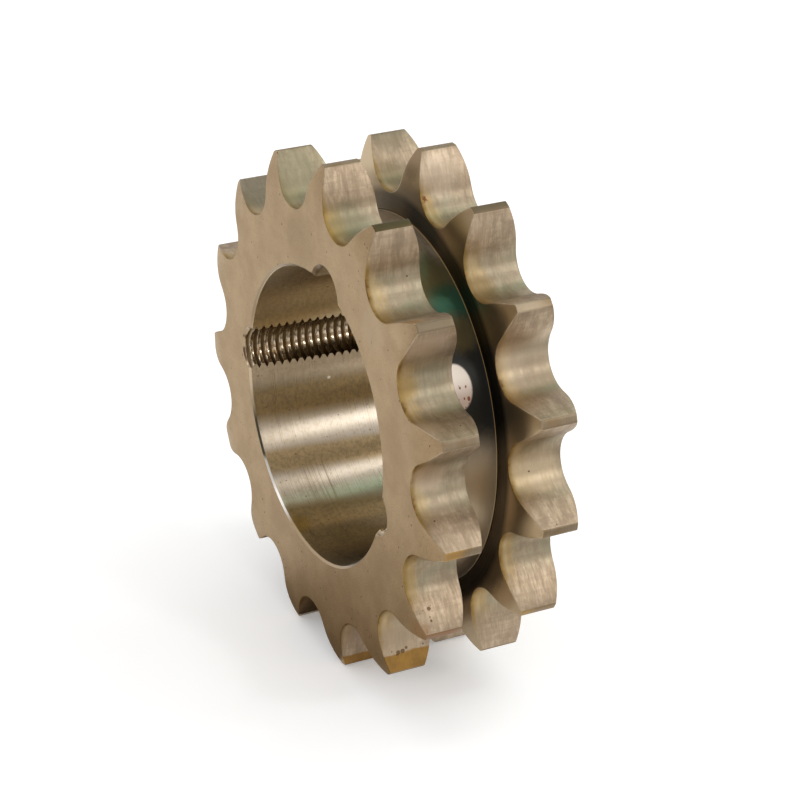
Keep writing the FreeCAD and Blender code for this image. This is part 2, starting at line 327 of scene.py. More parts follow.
def marks_group():
    """Tool marks: thin lines that vary along the shaft and run on along the cut."""
    inputs = {"Millimetres": "Vector", "Lines": "Float", "Breaks": "Float"}
    tree, given, result = shader_group("tool_marks", inputs, {"Fine": "Float", "Broad": "Float"})
    parts = node(tree, "ShaderNodeSeparateXYZ")
    tree.links.new(given["Millimetres"], parts.inputs[0])
    squeezed = node(tree, "ShaderNodeCombineXYZ")
    for axis, rate in (("X", "Breaks"), ("Y", "Lines"), ("Z", "Breaks")):
        scaled = calculate(tree, "MULTIPLY", parts.outputs[axis], given[rate])
        tree.links.new(scaled, squeezed.inputs[axis])
    fine = noise(tree, squeezed.outputs[0], 1.0, 3.0, 0.7)
    broad = noise(tree, squeezed.outputs[0], 0.22, 2.0)
    tree.links.new(step_between(tree, fine, 0.3, 0.7), result["Fine"])
    tree.links.new(step_between(tree, broad, 0.3, 0.7), result["Broad"])
    return tree


def grain_group():
    """Clouds some millimetres wide, a fine grain, and small pits in some of a pattern's cells."""
    inputs = {"Millimetres": "Vector", "Pitted": "Float"}
    outputs = {"Clouds": "Float", "Grain": "Float", "Pits": "Float"}
    tree, given, result = shader_group("grain", inputs, outputs)
    place = given["Millimetres"]
    cells = node(tree, "ShaderNodeTexVoronoi")
    cells.inputs["Scale"].default_value = 1.1
    tree.links.new(place, cells.inputs["Vector"])
    chance = node(tree, "ShaderNodeSeparateColor")
    tree.links.new(cells.outputs["Color"], chance.inputs[0])
    kept = calculate(tree, "SUBTRACT", given["Pitted"], chance.outputs[0])
    spread = calculate(tree, "MULTIPLY_ADD", given["Pitted"], 0.3, 0.26)
    size = calculate(tree, "MULTIPLY", chance.outputs[1], spread)
    inside = calculate(tree, "SUBTRACT", size, cells.outputs["Distance"])
    shown = calculate(tree, "GREATER_THAN", kept, 0.0)
    pits = calculate(tree, "MULTIPLY", shown, step_between(tree, inside, 0.0, 0.06))
    tree.links.new(pits, result["Pits"])
    clouds = noise(tree, place, 0.16, 4.0, 0.65)
    grain = noise(tree, place, 2.6, 4.0, 0.7)
    tree.links.new(step_between(tree, clouds, 0.3, 0.7), result["Clouds"])
    tree.links.new(step_between(tree, grain, 0.3, 0.7), result["Grain"])
    return tree


def spot_group():
    """A ragged patch round one place, used for stains and for spots of painted light and shade."""
    inputs = {"Millimetres": "Vector", "Centre": "Vector", "Reach": "Float", "Ragged": "Float"}
    tree, given, result = shader_group("spot", inputs, {"Mask": "Float"})
    away = node(tree, "ShaderNodeVectorMath", operation="DISTANCE")
    tree.links.new(given["Millimetres"], away.inputs[0])
    tree.links.new(given["Centre"], away.inputs[1])
    sway = calculate(tree, "SUBTRACT", noise(tree, given["Millimetres"], 0.9, 3.0, 0.6), 0.5)
    ragged = calculate(tree, "MULTIPLY_ADD", sway, given["Ragged"], away.outputs["Value"])
    share = calculate(tree, "DIVIDE", ragged, given["Reach"])
    tree.links.new(step_between(tree, share, 1.0, 0.4), result["Mask"])
    return tree


place_tree = place_group()
marks_tree = marks_group()
grain_tree = grain_group()
spot_tree = spot_group()


def along(tree, place, axis):
    """One coordinate of a place: X across, Y along the shaft, Z up, in millimetres."""
    parts = node(tree, "ShaderNodeSeparateXYZ")
    tree.links.new(place, parts.inputs[0])
    return parts.outputs[axis]


def steel(name):
    material = bpy.data.materials.new(name)
    material.use_nodes = True
    tree = material.node_tree
    shader = tree.nodes["Principled BSDF"]
    shader.inputs["Metallic"].default_value = 1
    return material, tree, shader


def surface(tree, shader, color, roughness, height, relief):
    """Feeds a steel's colour, roughness and a bump whose full height is the relief."""
    tree.links.new(color, shader.inputs["Base Color"])
    tree.links.new(roughness, shader.inputs["Roughness"])
    bump = node(tree, "ShaderNodeBump")
    bump.inputs["Distance"].default_value = relief
    tree.links.new(height, bump.inputs["Height"])
    tree.links.new(bump.outputs[0], shader.inputs["Normal"])


def brushed(tree, shader, amount):
    """Spreads highlights along the shaft, across the fine lines that the tool left round it."""
    shaft = node(tree, "ShaderNodeCombineXYZ")
    shaft.inputs["Y"].default_value = 1
    tree.links.new(shaft.outputs[0], shader.inputs["Tangent"])
    shader.inputs["Anisotropic"].default_value = amount


def spot(tree, place, centre, reach, ragged=0.0):
    """How far a point lies inside a ragged spot; centre and reach are in millimetres."""
    values = {"Millimetres": place, "Centre": centre, "Reach": reach, "Ragged": ragged}
    return use(tree, spot_tree, **values)["Mask"]


def stains_and_painted_light(tree, color, place, *spots):
    """Lays spots of other tints over a colour: centre, reach, tint and strength of each.  Some
    are real stains, and some paint light and shade.
    """
    for centre, reach, tint, strength in spots:
        mask = spot(tree, place, centre, reach, ragged=2.0)
        color = tinted(tree, color, mask, strength, tint)
    return color


def ground_face():
    """Matt tan side faces: soft clouds, a fine grain, freckles, a few dark pits, an orange stain, and
    spots of painted shade and painted light.
    """
    material, tree, shader = steel("ground_face")
    place = use(tree, place_tree)["Millimetres"]
    grain = use(tree, grain_tree, Millimetres=place, Pitted=0.13)
    color = mix(tree, grain["Clouds"], (0.33, 0.223, 0.115), (0.43, 0.307, 0.172))
    color = tinted(tree, color, grain["Grain"], 0.55, (0.51, 0.375, 0.23))
    freckles = step_between(tree, noise(tree, place, 2.6, 4.0, 0.75), 0.52, 0.66, 0.0, 0.55)
    color = mix(tree, freckles, color, (0.25, 0.155, 0.08))
    color = tinted(tree, color, grain["Pits"], 0.7, (0.13, 0.08, 0.04))
    # One orange stain low on the right; the other spots are painted shade at the top and on the right,
    # and painted light higher up on the right.
    color = stains_and_painted_light(
        tree, color, place,
        ((41.9, 0.5, -24.3), 3.0, (0.36, 0.19, 0.08), 0.5),
        ((-5.7, 0.0, 33.5), 8.0, (0.27, 0.18, 0.09), 0.35),
        ((32.2, 0.0, 10.1), 6.0, (0.33, 0.22, 0.12), 0.4),
        ((23.8, 0.0, 27.9), 6.0, (0.50, 0.38, 0.25), 0.4),
        ((33.3, 0.5, 31.8), 4.5, (0.54, 0.40, 0.255), 0.6),
    )
    roughness = calculate(tree, "MULTIPLY_ADD", grain["Grain"], 0.12, 0.46)
    height = calculate(tree, "MULTIPLY_ADD", grain["Pits"], -1.5, grain["Grain"])
    surface(tree, shader, color, roughness, height, 0.02 * MM)
    return material


def seat_oil(tree, color, where, sway, broad, clouds):
    """Old oil in the seats: a greenish film, cream and gold near the front, amber at its edge."""
    radius, depth = where["Radius"], where["Depth"]
    seat = step_between(tree, radius, 44.6, 40.6)
    film = calculate(tree, "MULTIPLY", seat, step_between(tree, clouds, 1.0, 0.1, 0.2, 0.65))
    color = mix(tree, film, color, (0.285, 0.27, 0.185))
    behind = calculate(tree, "ADD", depth, calculate(tree, "MULTIPLY_ADD", sway, 5.0, -2.5))
    cream = calculate(tree, "MULTIPLY", step_between(tree, behind, 3.6, 1.6), seat)
    color = tinted(tree, color, cream, 0.6, (0.62, 0.47, 0.26))
    gold = calculate(tree, "MULTIPLY", step_between(tree, behind, 5.0, 1.2),
                     step_between(tree, radius, 47.0, 41.5, 0.05, 0.65))
    streaked = step_between(tree, broad, 0.2, 0.8, 0.25, 1.0)
    color = tinted(tree, color, gold, streaked, (0.36, 0.24, 0.09))
    edge = step_between(tree, calculate(tree, "ADD", depth, sway), 1.7, 0.7)
    reach = step_between(tree, radius, 48.0, 42.5, 0.2, 0.95)
    color = tinted(tree, color, edge, reach, (0.30, 0.19, 0.06))
    scorched = calculate(tree, "MULTIPLY", step_between(tree, behind, 0.4, -0.6), seat)
    return tinted(tree, color, scorched, 0.8, (0.13, 0.06, 0.02))


def hobbed_gap():
    """Satin gaps: streaks along the hob's cut, old oil in the seats, stains, spots of painted light
    and shade on single teeth, and pits low down.
    """
    material, tree, shader = steel("hobbed_gap")
    where = use(tree, place_tree)
    place, radius = where["Millimetres"], where["Radius"]
    marks = use(tree, marks_tree, Millimetres=place, Lines=2.4, Breaks=0.3)
    streaks = use(tree, marks_tree, Millimetres=place, Lines=1.0, Breaks=0.3)["Fine"]
    bands = use(tree, marks_tree, Millimetres=place, Lines=0.06, Breaks=0.9)["Fine"]
    sway = noise(tree, place, 0.35, 4.0, 0.65)
    line = step_between(tree, distance_from(tree, radius, 46.3), 0.9, 0.4)
    eaten = calculate(tree, "MULTIPLY", spot(tree, place, (29.3, 3.4, -36.0), 6.5), line)
    eaten = calculate(tree, "MAXIMUM", eaten, spot(tree, place, (41.3, 3.2, -20.8), 2.6, 1.0))
    grain = use(tree, grain_tree, Millimetres=place,
                Pitted=calculate(tree, "MULTIPLY_ADD", eaten, 0.9, 0.008))
    color = mix(tree, marks["Broad"], (0.37, 0.28, 0.185), (0.49, 0.385, 0.27))
    for lines, start, strength, tint in (
        (streaks, 0.3, 0.45, (0.66, 0.52, 0.38)),
        (marks["Fine"], 0.5, 0.3, (0.32, 0.24, 0.16)),
        (bands, 0.5, 0.35, (0.32, 0.24, 0.16)),
    ):
        color = mix(tree, step_between(tree, lines, start, 0.9, 0.0, strength), color, tint)
    color = tinted(tree, color, grain["Clouds"], 0.3, (0.40, 0.31, 0.22))
    blotch = step_between(tree, noise(tree, place, 0.32, 5.0, 0.72), 0.48, 0.66, 0.0, 0.5)
    color = mix(tree, blotch, color, (0.28, 0.205, 0.145))
    color = seat_oil(tree, color, where, sway, marks["Broad"], grain["Clouds"])
    # Spots on single teeth: the pale ones are painted light, the darker grey, greenish and brown ones
    # painted shade, and the orange ones near the front edges and the small dark red one are stains.
    color = stains_and_painted_light(
        tree, color, place,
        ((-14.0, 4.0, 41.0), 10.0, (0.27, 0.255, 0.16), 0.6),
        ((-32.6, 5.0, 33.0), 10.0, (0.21, 0.185, 0.13), 0.7),
        ((37.5, 5.0, 27.5), 6.0, (0.62, 0.50, 0.385), 0.8),
        ((34.6, 25.0, 23.0), 8.0, (0.64, 0.51, 0.38), 0.5),
        ((3.0, 24.0, 46.0), 6.0, (0.68, 0.56, 0.43), 0.4),
        ((40.2, 25.0, 2.5), 6.0, (0.64, 0.50, 0.33), 0.6),
        ((24.1, 21.2, 31.7), 4.5, (0.27, 0.185, 0.085), 0.75),
        ((23.7, 4.0, -32.7), 8.0, (0.26, 0.19, 0.12), 0.7),
        ((8.4, 4.0, -39.5), 8.0, (0.26, 0.175, 0.12), 0.8),
        ((41.9, 1.3, -24.3), 2.6, (0.33, 0.17, 0.06), 0.6),
        ((34.3, 2.3, 33.4), 2.4, (0.42, 0.24, 0.09), 0.6),
        ((5.5, 0.8, 40.5), 4.2, (0.38, 0.25, 0.08), 0.7),
        ((34.3, 0.9, 21.0), 3.6, (0.33, 0.22, 0.08), 0.75),
        ((4.3, 20.3, 41.7), 0.7, (0.16, 0.05, 0.02), 0.9),
        ((39.6, 3.7, 5.9), 4.5, (0.60, 0.47, 0.34), 0.75),
        ((40.6, 4.3, 1.3), 5.0, (0.55, 0.44, 0.32), 0.2),
        ((42.6, 0.9, 16.8), 4.0, (0.56, 0.44, 0.31), 0.6),
        ((28.7, 4.3, -33.9), 5.0, (0.52, 0.41, 0.285), 0.4),
        ((36.1, 27.3, 18.0), 6.0, (0.33, 0.255, 0.17), 0.6),
        ((4.8, 4.5, 40.6), 5.0, (0.25, 0.225, 0.14), 0.6),
        ((-18.9, 24.5, 46.2), 5.5, (0.24, 0.19, 0.13), 0.75),
        ((-12.9, 23.0, 39.6), 4.5, (0.24, 0.19, 0.115), 0.75),
    )
    for centre, start in (((29.7, 4.5, -39.0), 46.5), ((11.5, 3.5, -47.5), 47.5)):
        near = step_between(tree, spot(tree, place, centre, 8.0), 0.0, 0.2)
        past = step_between(tree, calculate(tree, "ADD", radius, sway), start + 0.4, start + 0.8)
        darkened = calculate(tree, "MULTIPLY", near, past)
        oil = mix(tree, grain["Clouds"], (0.36, 0.19, 0.035), (0.22, 0.12, 0.03))
        color = tinted(tree, color, darkened, 0.92, oil)
    pit = mix(tree, eaten, (0.10, 0.055, 0.03), (0.14, 0.075, 0.035))
    color = tinted(tree, color, grain["Pits"], 0.85, pit)
    roughness = calculate(tree, "MULTIPLY_ADD", marks["Fine"], 0.12, 0.44)
    height = calculate(tree, "MULTIPLY_ADD", grain["Pits"], -5.0, streaks)
    surface(tree, shader, color, roughness, height, 0.008 * MM)
    brushed(tree, shader, 0.35)
    return material


def turned_land():
    """Tips turned to size, brown-tan under a clouded film, orange and brown stains low on the right,
    painted shade on the lands at the top and upper right, and painted light on one far land.
    """
    material, tree, shader = steel("turned_land")
    place = use(tree, place_tree)["Millimetres"]
    marks = use(tree, marks_tree, Millimetres=place, Lines=3.0, Breaks=0.1)
    grain = use(tree, grain_tree, Millimetres=place, Pitted=0.1)
    color = mix(tree, marks["Fine"], (0.26, 0.20, 0.13), (0.33, 0.26, 0.18))
    clouded = step_between(tree, grain["Clouds"], 0.3, 0.9, 0.0, 0.6)
    color = mix(tree, clouded, color, (0.27, 0.18, 0.09))
    # Painted shade on the lands at the top and on one at the upper right, painted light on a far land
    # at the upper right, and orange and brown stains on lands low on the right.
    color = stains_and_painted_light(
        tree, color, place,
        ((20.3, 5.0, 45.6), 13.0, (0.085, 0.068, 0.03), 0.9),
        ((22.0, 25.0, 44.8), 10.0, (0.17, 0.125, 0.075), 0.85),
        ((37.1, 8.0, 33.4), 9.0, (0.23, 0.18, 0.12), 0.8),
        ((43.5, 4.5, -24.1), 6.0, (0.28, 0.155, 0.085), 0.85),
        ((49.5, 2.5, -5.1), 4.0, (0.45, 0.27, 0.09), 0.8),
        ((42.8, 20.8, -25.0), 4.0, (0.42, 0.28, 0.10), 0.7),
        ((37.3, 22.0, 33.1), 7.0, (0.46, 0.37, 0.26), 0.8),
    )
    roughness = calculate(tree, "MULTIPLY_ADD", marks["Fine"], 0.1, 0.5)
    surface(tree, shader, color, roughness, marks["Fine"], 0.008 * MM)
    return material


def turned_groove():
    """The groove, turned in rings: a dull floor and dark walls that carry painted shade, and one worn
    patch with a painted highlight.
    """
    material, tree, shader = steel("turned_groove")
    where = use(tree, place_tree)
    place, radius = where["Millimetres"], where["Radius"]
    level = along(tree, place, "Z")
    floor_edge = floor_radius / MM
    stretch = 1.45
    # The tool's lines go by depth on the floor and by radius on the walls.
    turned = node(tree, "ShaderNodeCombineXYZ")
    tree.links.new(along(tree, place, "X"), turned.inputs["X"])
    tree.links.new(calculate(tree, "ADD", along(tree, place, "Y"), radius), turned.inputs["Y"])
    tree.links.new(level, turned.inputs["Z"])
    marks = use(tree, marks_tree, Millimetres=turned.outputs[0], Lines=3.5, Breaks=0.05)
    longer = node(tree, "ShaderNodeVectorMath", operation="MULTIPLY")
    tree.links.new(place, longer.inputs[0])
    longer.inputs[1].default_value = (1.0, stretch, 1.0)
    # The worn patch on the floor, where a highlight is painted.
    worn_highlight = spot(tree, longer.outputs[0], (31.4, 13.2 * stretch, 17.3), 4.75)
    worn_highlight = step_between(tree, worn_highlight, 0.02, 0.2)
    rusty = calculate(tree, "MULTIPLY", worn_highlight, step_between(tree, level, 18.7, 16.8))
    grain = use(tree, grain_tree, Millimetres=longer.outputs[0],
                Pitted=calculate(tree, "MULTIPLY_ADD", rusty, 0.75, 0.1))
    clean = mix(tree, marks["Fine"], (0.32, 0.24, 0.16), (0.41, 0.32, 0.225))
    clouded = step_between(tree, grain["Clouds"], 0.1, 0.9, 0.0, 0.4)
    clean = mix(tree, clouded, clean, (0.14, 0.105, 0.06))
    # Painted shade on the floor: nearly black over the upper part, with olive, dark teal and dark
    # brown spots; a large tan spot lower down paints it lighter again.
    floor_with_painted_shade = stains_and_painted_light(
        tree, clean, place,
        ((31.0, 17.5, 20.0), 27.0, (0.017, 0.019, 0.019), 0.97),
        ((16.5, 14.5, 32.0), 9.0, (0.085, 0.075, 0.03), 0.8),
        ((21.3, 17.0, 28.7), 5.5, (0.028, 0.08, 0.05), 0.9),
        ((25.6, 16.5, 25.0), 5.0, (0.10, 0.08, 0.04), 0.85),
        ((35.2, 16.0, -6.0), 17.0, (0.37, 0.28, 0.18), 0.95),
        ((27.9, 17.5, -22.4), 9.0, (0.13, 0.085, 0.045), 0.9),
    )
    # The walls' dark colour deep between the strands is painted shade; further out, between the teeth,
    # they turn pale, and the lighter and darker spots on them are painted light and shade.
    darkened = mix(tree, marks["Fine"], (0.07, 0.055, 0.036), (0.12, 0.092, 0.058))
    between_teeth = step_between(tree, radius, 39.0, 41.0)
    wall_with_painted_shade = stains_and_painted_light(
        tree, darkened, place,
        ((-9.0, 19.5, 38.0), 10.0, (0.24, 0.18, 0.10), 0.8),
        ((6.0, 19.5, 37.5), 8.0, (0.03, 0.04, 0.032), 0.85),
        ((34.0, 19.5, 13.0), 13.0, (0.045, 0.04, 0.03), 0.6),
    )
    wall_with_painted_shade = mix(tree, between_teeth, wall_with_painted_shade, (0.52, 0.40, 0.25))
    wall_with_painted_shade = stains_and_painted_light(
        tree, wall_with_painted_shade, place,
        ((-0.8, 20.6, 48.3), 6.5, (0.25, 0.17, 0.093), 0.9),
        ((17.8, 19.5, 39.6), 5.0, (0.52, 0.40, 0.22), 0.7),
    )
    on_wall = step_between(tree, radius, floor_edge + 0.05, floor_edge + 0.2)
    color = mix(tree, on_wall, floor_with_painted_shade, wall_with_painted_shade)
    line = step_between(tree, distance_from(tree, radius, 39.5), 0.14, 0.04, 0.0, 0.7)
    faint = step_between(tree, noise(tree, place, 0.2), 0.38, 0.62, 0.1, 0.7)
    color = tinted(tree, color, line, faint, (0.30, 0.21, 0.10))
    edged = step_between(tree, radius, floor_edge + 0.005, floor_edge + 0.03)
    before_wall = step_between(tree, radius, floor_edge + 0.2, floor_edge + 0.12)
    color = tinted(tree, color, edged, before_wall, (0.22, 0.14, 0.055))
    # Painted shade in the floor's rounded corner, darkest low down and lighter towards the top.
    corner = mix(tree, step_between(tree, level, 25.0, 30.0), (0.03, 0.025, 0.018), (0.13, 0.09, 0.04))
    painted_shade_corner = step_between(tree, distance_from(tree, radius, floor_edge + 0.23), 0.18, 0.12)
    color = mix(tree, painted_shade_corner, color, corner)
    # Its pale colour, paler towards the top, is a painted highlight on the worn bare steel.
    painted_highlight = mix(tree, step_between(tree, level, 14.5, 19.0), (0.46, 0.355, 0.29), (0.74, 0.66, 0.58))
    color = mix(tree, worn_highlight, color, painted_highlight)
    color = tinted(tree, color, grain["Pits"], rusty, (0.22, 0.09, 0.05))
    roughness = step_between(tree, calculate(tree, "MAXIMUM", worn_highlight, painted_shade_corner), 0.0, 1.0, 0.36, 0.55)
    surface(tree, shader, color, roughness, marks["Fine"], 0.002 * MM)
    return material


def bored_taper():
    """The taper, bored bright: fine rings, brown mottling, painted reflection bands by height,
    scratches, and a painted highlight on the rim.
    """
    material, tree, shader = steel("bored_taper")
    where = use(tree, place_tree)
    place, radius = where["Millimetres"], where["Radius"]
    level = along(tree, place, "Z")
    rim_edge = bore_radius / MM
    marks = use(tree, marks_tree, Millimetres=place, Lines=5.0, Breaks=0.05)
    grain = use(tree, grain_tree, Millimetres=place, Pitted=0.12)
    color = mix(tree, marks["Fine"], (0.49, 0.425, 0.345), (0.59, 0.525, 0.445))
    color = tinted(tree, color, grain["Clouds"], 0.3, (0.44, 0.35, 0.23))
    mottle = noise(tree, place, 1.3, 5.0, 0.7)
    color = mix(tree, step_between(tree, mottle, 0.46, 0.70, 0.0, 0.4), color, (0.32, 0.235, 0.13))
    patches = step_between(tree, mottle, 0.36, 0.64)
    # Bands by height round the bore, paler and darker in turn: painted reflections.
    for top, bottom, dark, pale in (
        ((2.0, 5.0), (41.0, 40.0), (0.56, 0.44, 0.26), (0.72, 0.57, 0.34)),
        ((2.0, 1.0), (-8.0, -4.5), (0.42, 0.315, 0.20), (0.52, 0.40, 0.27)),
        ((-4.0, -8.0), (-14.3, -11.3), (0.19, 0.125, 0.045), (0.30, 0.195, 0.072)),
        ((-17.3, -18.6), (-22.0, -20.6), (0.32, 0.23, 0.11), (0.49, 0.35, 0.18)),
        ((-24.8, -26.0), (-30.0, -29.0), (0.18, 0.125, 0.05), (0.29, 0.205, 0.085)),
    ):
        below = step_between(tree, level, *top, 0.0, 0.88)
        above = step_between(tree, level, *bottom)
        color = tinted(tree, color, below, above, mix(tree, patches, dark, pale))
    color = tinted(tree, color, grain["Pits"], 0.6, (0.12, 0.085, 0.05))
    color = stains_and_painted_light(
        tree, color, place,
        ((-8.2, 1.0, -27.4), 3.4, (0.20, 0.13, 0.02), 0.55),
        ((-26.6, 16.3, -6.9), 0.3, (0.75, 0.68, 0.56), 0.9),
    )
    lines = use(tree, marks_tree, Millimetres=place, Lines=5.0, Breaks=0.02)["Fine"]
    scratches = step_between(tree, lines, 0.62, 0.86, 0.0, 0.6)
    scratched = spot(tree, place, (-15.4, 9.0, -23.2), 6.0, ragged=2.0)
    color = tinted(tree, color, scratched, scratches, (0.17, 0.12, 0.065))
    # The rim's chamfer takes a painted highlight, near white on the left, with darker and paler
    # stretches by height.
    rim = step_between(tree, radius, rim_edge + 0.025, rim_edge + 0.065)
    painted_highlight = mix(tree, step_between(tree, along(tree, place, "X"), -9.0, -13.0),
               (0.40, 0.29, 0.18), (0.9, 0.87, 0.82))
    for start, end, tint in (
        (-19.6, -18.2, (0.12, 0.115, 0.08)),
        (-13.0, -9.0, (0.50, 0.39, 0.27)),
        (12.0, 17.0, (0.35, 0.27, 0.18)),
    ):
        painted_highlight = mix(tree, step_between(tree, level, start, end), painted_highlight, tint)
    color = mix(tree, rim, color, painted_highlight)
    roughness = calculate(tree, "MULTIPLY_ADD", marks["Fine"], 0.05, 0.27)
    height = calculate(tree, "MULTIPLY_ADD", grain["Pits"], -2.0, marks["Fine"])
    surface(tree, shader, color, roughness, height, 0.0003 * MM)
    brushed(tree, shader, 0.95)
    return material


def cut_thread():
    """The thread: crests with painted light, darker high up and brighter lower down, roots brown with
    old oil, and the lower side darker further in.
    """
    material, tree, shader = steel("cut_thread")
    place = use(tree, place_tree)["Millimetres"]
    behind = along(tree, place, "Y")
    level = along(tree, place, "Z")
    root = node(tree, "ShaderNodeAttribute", attribute_name="root").outputs["Fac"]
    grain = use(tree, grain_tree, Millimetres=place, Pitted=0.1)
    # Painted light on the crests: darker above the middle of the hole, brighter below it.
    painted_crest_light = mix(tree, step_between(tree, level, 1.7, 0.6), (0.25, 0.195, 0.13), (0.74, 0.61, 0.46))
    color = tinted(tree, painted_crest_light, grain["Grain"], 0.3, (0.26, 0.19, 0.12))
    # The lower side darker further into the hole.
    lower_side = step_between(tree, level, 0.6, -1.2)
    deep = step_between(tree, behind, 5.0, 11.0, 0.0, 0.95)
    color = tinted(tree, color, lower_side, deep, (0.20, 0.165, 0.12))
    dark = mix(tree, step_between(tree, level, 0.0, 2.5), (0.24, 0.165, 0.08), (0.27, 0.185, 0.08))
    color = mix(tree, step_between(tree, root, 0.05, 0.6), color, dark)
    color = mix(tree, step_between(tree, behind, 1.0, 0.7), color, (0.36, 0.27, 0.17))
    roughness = step_between(tree, root, 0.1, 0.6, 0.18, 0.45)
    surface(tree, shader, color, roughness, grain["Grain"], 0.001 * MM)
    brushed(tree, shader, 0.7)
    return material


def drilled_wall():
    """The plain hole's drilled wall, ringed by the drill."""
    material, tree, shader = steel("drilled_wall")
    place = use(tree, place_tree)["Millimetres"]
    marks = use(tree, marks_tree, Millimetres=place, Lines=3.0, Breaks=0.2)
    grain = use(tree, grain_tree, Millimetres=place, Pitted=0.1)
    color = mix(tree, marks["Fine"], (0.34, 0.26, 0.17), (0.48, 0.38, 0.27))
    color = tinted(tree, color, grain["Clouds"], 0.5, (0.25, 0.18, 0.10))
    mouth = step_between(tree, along(tree, place, "Y"), 1.0, 0.7)
    color = mix(tree, mouth, color, (0.22, 0.155, 0.09))
    roughness = calculate(tree, "MULTIPLY_ADD", marks["Fine"], 0.15, 0.3)
    surface(tree, shader, color, roughness, marks["Fine"], 0.01 * MM)
    return material


finishes = {
    FACE: ground_face(),
    GAP: hobbed_gap(),
    LAND: turned_land(),
    GROOVE: turned_groove(),
    BORE: bored_taper(),
}
thread_steel, hole_steel = cut_thread(), drilled_wall()


def geometry_tree(name, inputs, geometry_in=True):
    """A Geometry Nodes tree with one geometry output and the named inputs."""
    tree = bpy.data.node_groups.new(name, "GeometryNodeTree")
    if geometry_in:
        tree.interface.new_socket("Geometry", in_out="INPUT", socket_type="NodeSocketGeometry")
    for label, kind, value in inputs:
        socket = tree.interface.new_socket(label, in_out="INPUT", socket_type=kind)
        socket.default_value = value
    tree.interface.new_socket("Geometry", in_out="OUTPUT", socket_type="NodeSocketGeometry")
    return tree, node(tree, "NodeGroupInput"), node(tree, "NodeGroupOutput")


def set_finish(tree, geometry, material, zone=None):
    made = node(tree, "GeometryNodeSetMaterial")
    made.inputs["Material"].default_value = material
    tree.links.new(geometry, made.inputs["Geometry"])
    if zone is not None:
        name = node(tree, "GeometryNodeInputNamedAttribute", data_type="INT")
        name.inputs["Name"].default_value = "zone"
        same = node(tree, "FunctionNodeCompare", data_type="INT", operation="EQUAL")
        tree.links.new(name.outputs["Attribute"], same.inputs["A"])
        same.inputs["B"].default_value = zone
        tree.links.new(same.outputs[0], made.inputs["Selection"])
    return made.outputs[0]


def repeat_tree():
    """Turns copies of one gap round the shaft's axis and welds them."""
    tree, given, result = geometry_tree("gaps_round_the_shaft", [("Teeth", "NodeSocketInt", teeth)])
    points = node(tree, "GeometryNodePoints")
    tree.links.new(given.outputs["Teeth"], points.inputs["Count"])
    index = node(tree, "GeometryNodeInputIndex")
    step = calculate(tree, "DIVIDE", math.tau, given.outputs["Teeth"])
    turn = node(tree, "ShaderNodeCombineXYZ")
    tree.links.new(calculate(tree, "MULTIPLY", index.outputs[0], step), turn.inputs["Y"])
    copies = node(tree, "GeometryNodeInstanceOnPoints")
    tree.links.new(points.outputs[0], copies.inputs["Points"])
    tree.links.new(given.outputs["Geometry"], copies.inputs["Instance"])
    tree.links.new(turn.outputs[0], copies.inputs["Rotation"])
    real = node(tree, "GeometryNodeRealizeInstances")
    tree.links.new(copies.outputs[0], real.inputs[0])
    weld = node(tree, "GeometryNodeMergeByDistance")
    weld.inputs["Distance"].default_value = weld_distance
    tree.links.new(real.outputs[0], weld.inputs["Geometry"])
    geometry = weld.outputs[0]
    geometry = set_finish(tree, geometry, finishes[FACE])
    for zone in (GAP, LAND, GROOVE, BORE):
        geometry = set_finish(tree, geometry, finishes[zone], zone)
    tree.links.new(geometry, result.inputs[0])
    return tree


def apply_tree(obj, tree, **values):
    """Runs a Geometry Nodes tree on an object and keeps the result as its plain mesh."""
    modifier = obj.modifiers.new(tree.name, "NODES")
    modifier.node_group = tree
    for socket in tree.interface.items_tree:
        if socket.in_out == "INPUT" and socket.name in values:
            modifier[socket.identifier] = values[socket.name]
    evaluated = obj.evaluated_get(bpy.context.evaluated_depsgraph_get())
    mesh = bpy.data.meshes.new_from_object(evaluated)
    if mesh.materials[0] is None:
        mesh.materials.pop(index=0)
    obj.modifiers.clear()
    obj.data = mesh


apply_tree(blank, repeat_tree(), Teeth=teeth)


# Half holes.  One plain hole and two tapped ones are bored into the rim of the taper, half in the
# sprocket and half in the bush.  Two have a three eighths inch thread of 16 to the inch.
hole_countersink = 0.8 * MM
drill_point = math.tan(math.radians(59))
tool_clearance = 1 * MM
thread_pitch = 25.4 * MM / 16
thread_depth = 0.86 * MM
thread_root = 0.31


